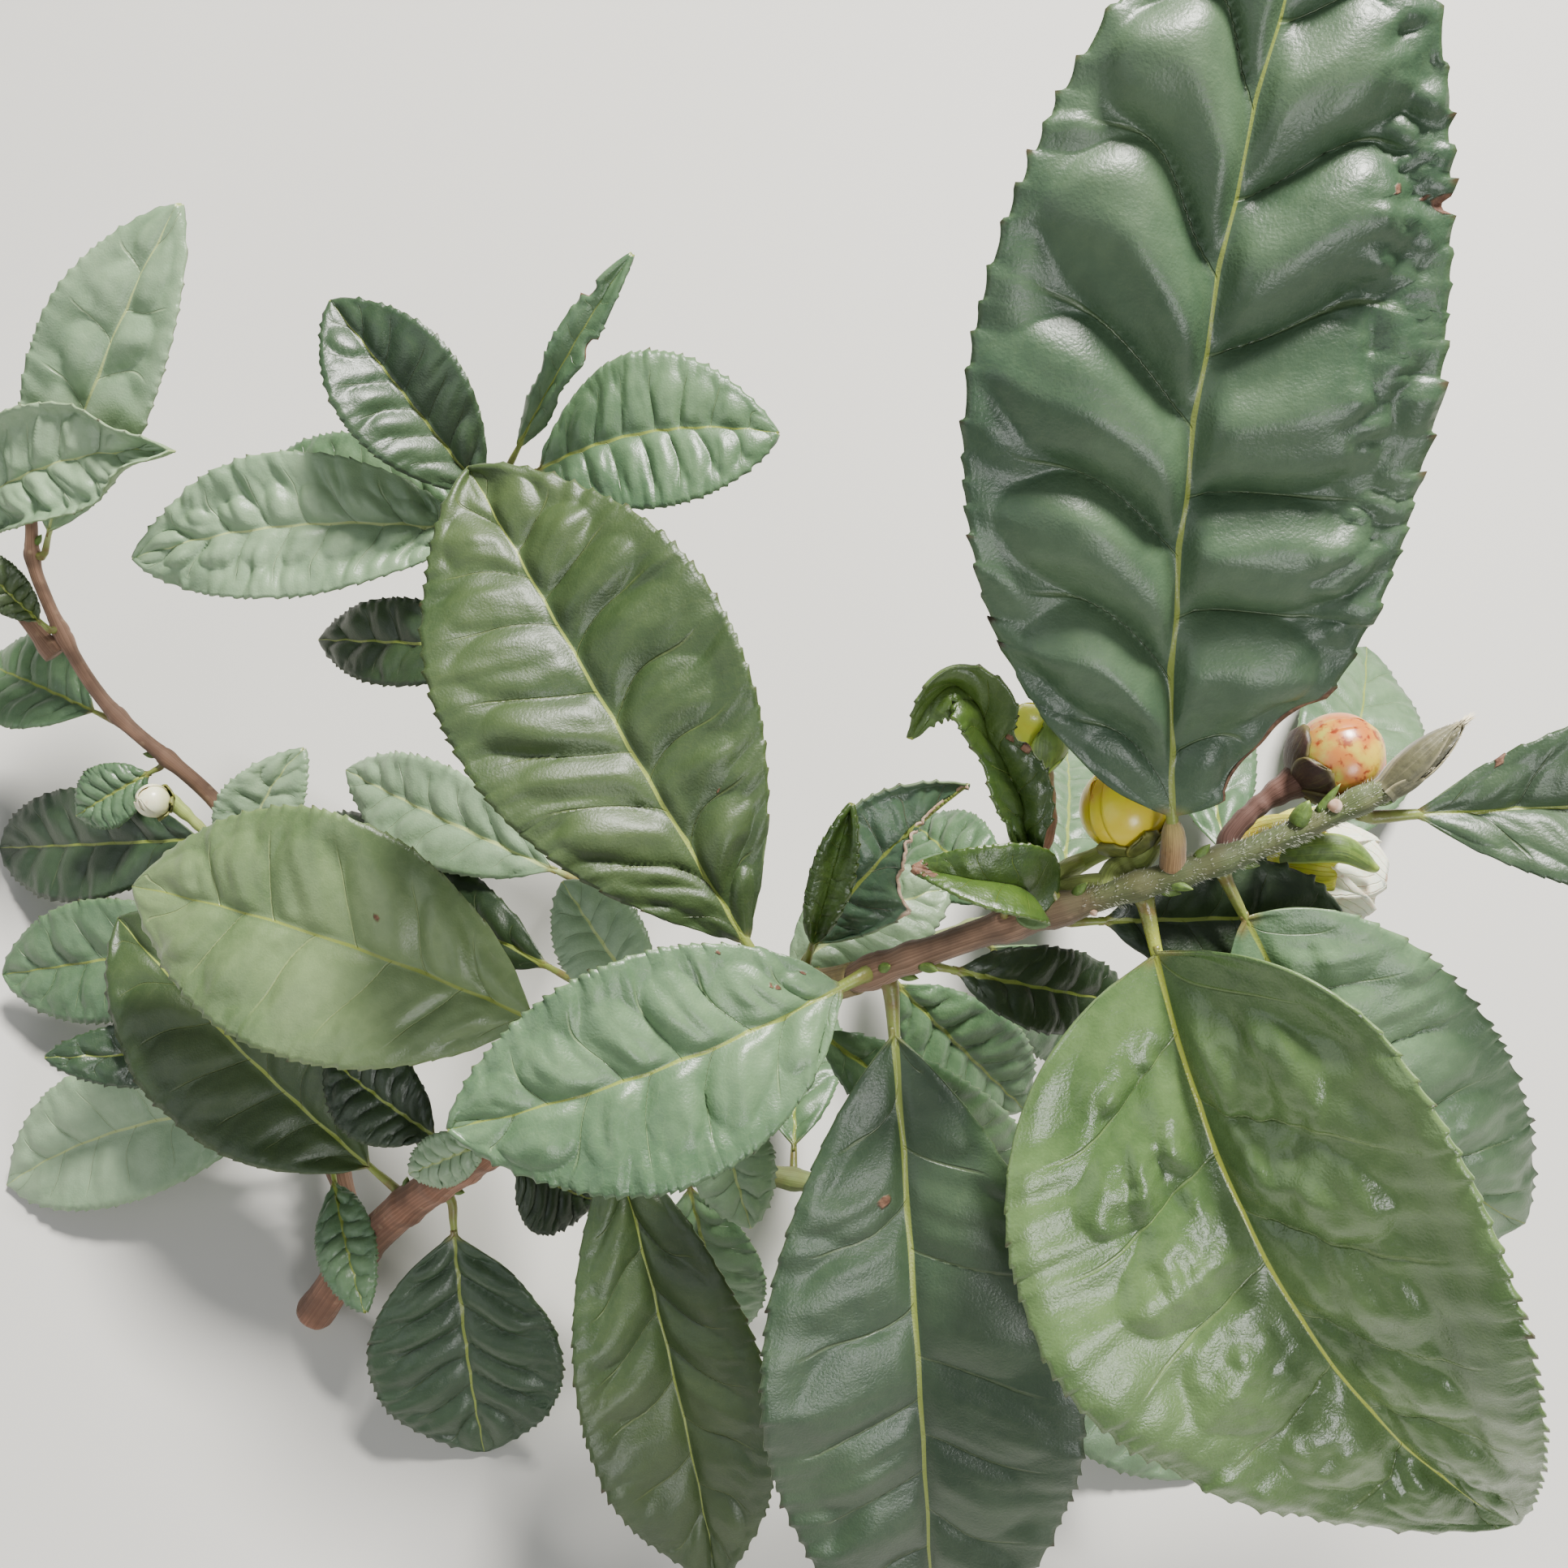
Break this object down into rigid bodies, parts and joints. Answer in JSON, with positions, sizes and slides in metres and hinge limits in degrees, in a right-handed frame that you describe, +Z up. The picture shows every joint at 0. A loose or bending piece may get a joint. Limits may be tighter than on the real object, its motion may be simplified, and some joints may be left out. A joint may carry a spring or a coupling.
{
  "type": "cut tea branch",
  "caption": "A cut branch of a tea bush with glossy toothed leaves on several shoots, round flower buds and an opening flower, lying on its cut end and lowest leaves.",
  "frame": {"origin": "centre of the bounding box's underside, on the level surface that the branch lies on", "axes": "+Z up, +X to the right along the flowering shoot towards its tip, +Y away from the viewer, up the spray"},
  "size_m": [0.2673, 0.1805, 0.1786],
  "materials": {
    "bark": "matt red-brown young bark",
    "green_stem": "downy green young wood",
    "leaf": "glossy leathery leaf, paler and matt beneath",
    "young_growth": "silky downy bud scales",
    "yellow_bud": "smooth waxy bud",
    "red_bud": "smooth waxy bud flushed red",
    "petal": "soft petal"
  },
  "bodies": {
    "root": {"bud_far_left": "petal", "bud_green": "yellow_bud", "bud_red": "red_bud", "bud_terminal": "young_growth", "bud_yellow": "yellow_bud", "centre_shoot": "green_stem", "far_left_shoot": "bark", "flower_opening": "petal", "flower_twig": "green_stem", "flowering_shoot": "green_stem", "leaf_boat": "leaf", "leaf_broad_right": "leaf", "leaf_brown_edged": "leaf", "leaf_centre_1": "leaf", "leaf_centre_2": "leaf", "leaf_centre_3": "leaf", "leaf_centre_4": "leaf", "leaf_centre_5": "leaf", "leaf_centre_6": "leaf", "leaf_centre_7": "leaf", "leaf_centre_8": "leaf", "leaf_curled": "leaf", "leaf_dark_under_stem": "leaf", "leaf_far_left_1": "leaf", "leaf_far_left_3": "leaf", "leaf_far_left_4": "leaf", "leaf_far_left_5": "leaf", "leaf_far_left_6": "leaf", "leaf_far_left_7": "leaf", "leaf_far_left_8": "leaf", "leaf_far_left_9": "leaf", "leaf_flat_middle": "leaf", "leaf_hanging_left": "leaf", "leaf_hanging_middle": "leaf", "leaf_low_1": "leaf", "leaf_low_2": "leaf", "leaf_low_3": "leaf", "leaf_low_4": "leaf", "leaf_low_5": "leaf", "leaf_low_6": "leaf", "leaf_mid_left_1": "leaf", "leaf_mid_left_2": "leaf", "leaf_mid_left_3": "leaf", "leaf_pale_between": "leaf", "leaf_pale_low": "leaf", "leaf_pale_narrow": "leaf", "leaf_right_end": "leaf", "leaf_shaded_short": "leaf", "leaf_small_hanging": "leaf", "leaf_small_twisted": "leaf", "leaf_tall_left": "leaf", "leaf_tall_top": "leaf", "leaf_under_broad": "leaf", "leaf_under_wide_left": "leaf", "leaf_wide_left": "leaf", "left_twig": "leaf", "lower_twig": "leaf", "main_stem": "bark", "upper_twig": "leaf"}
  },
  "joints": []
}
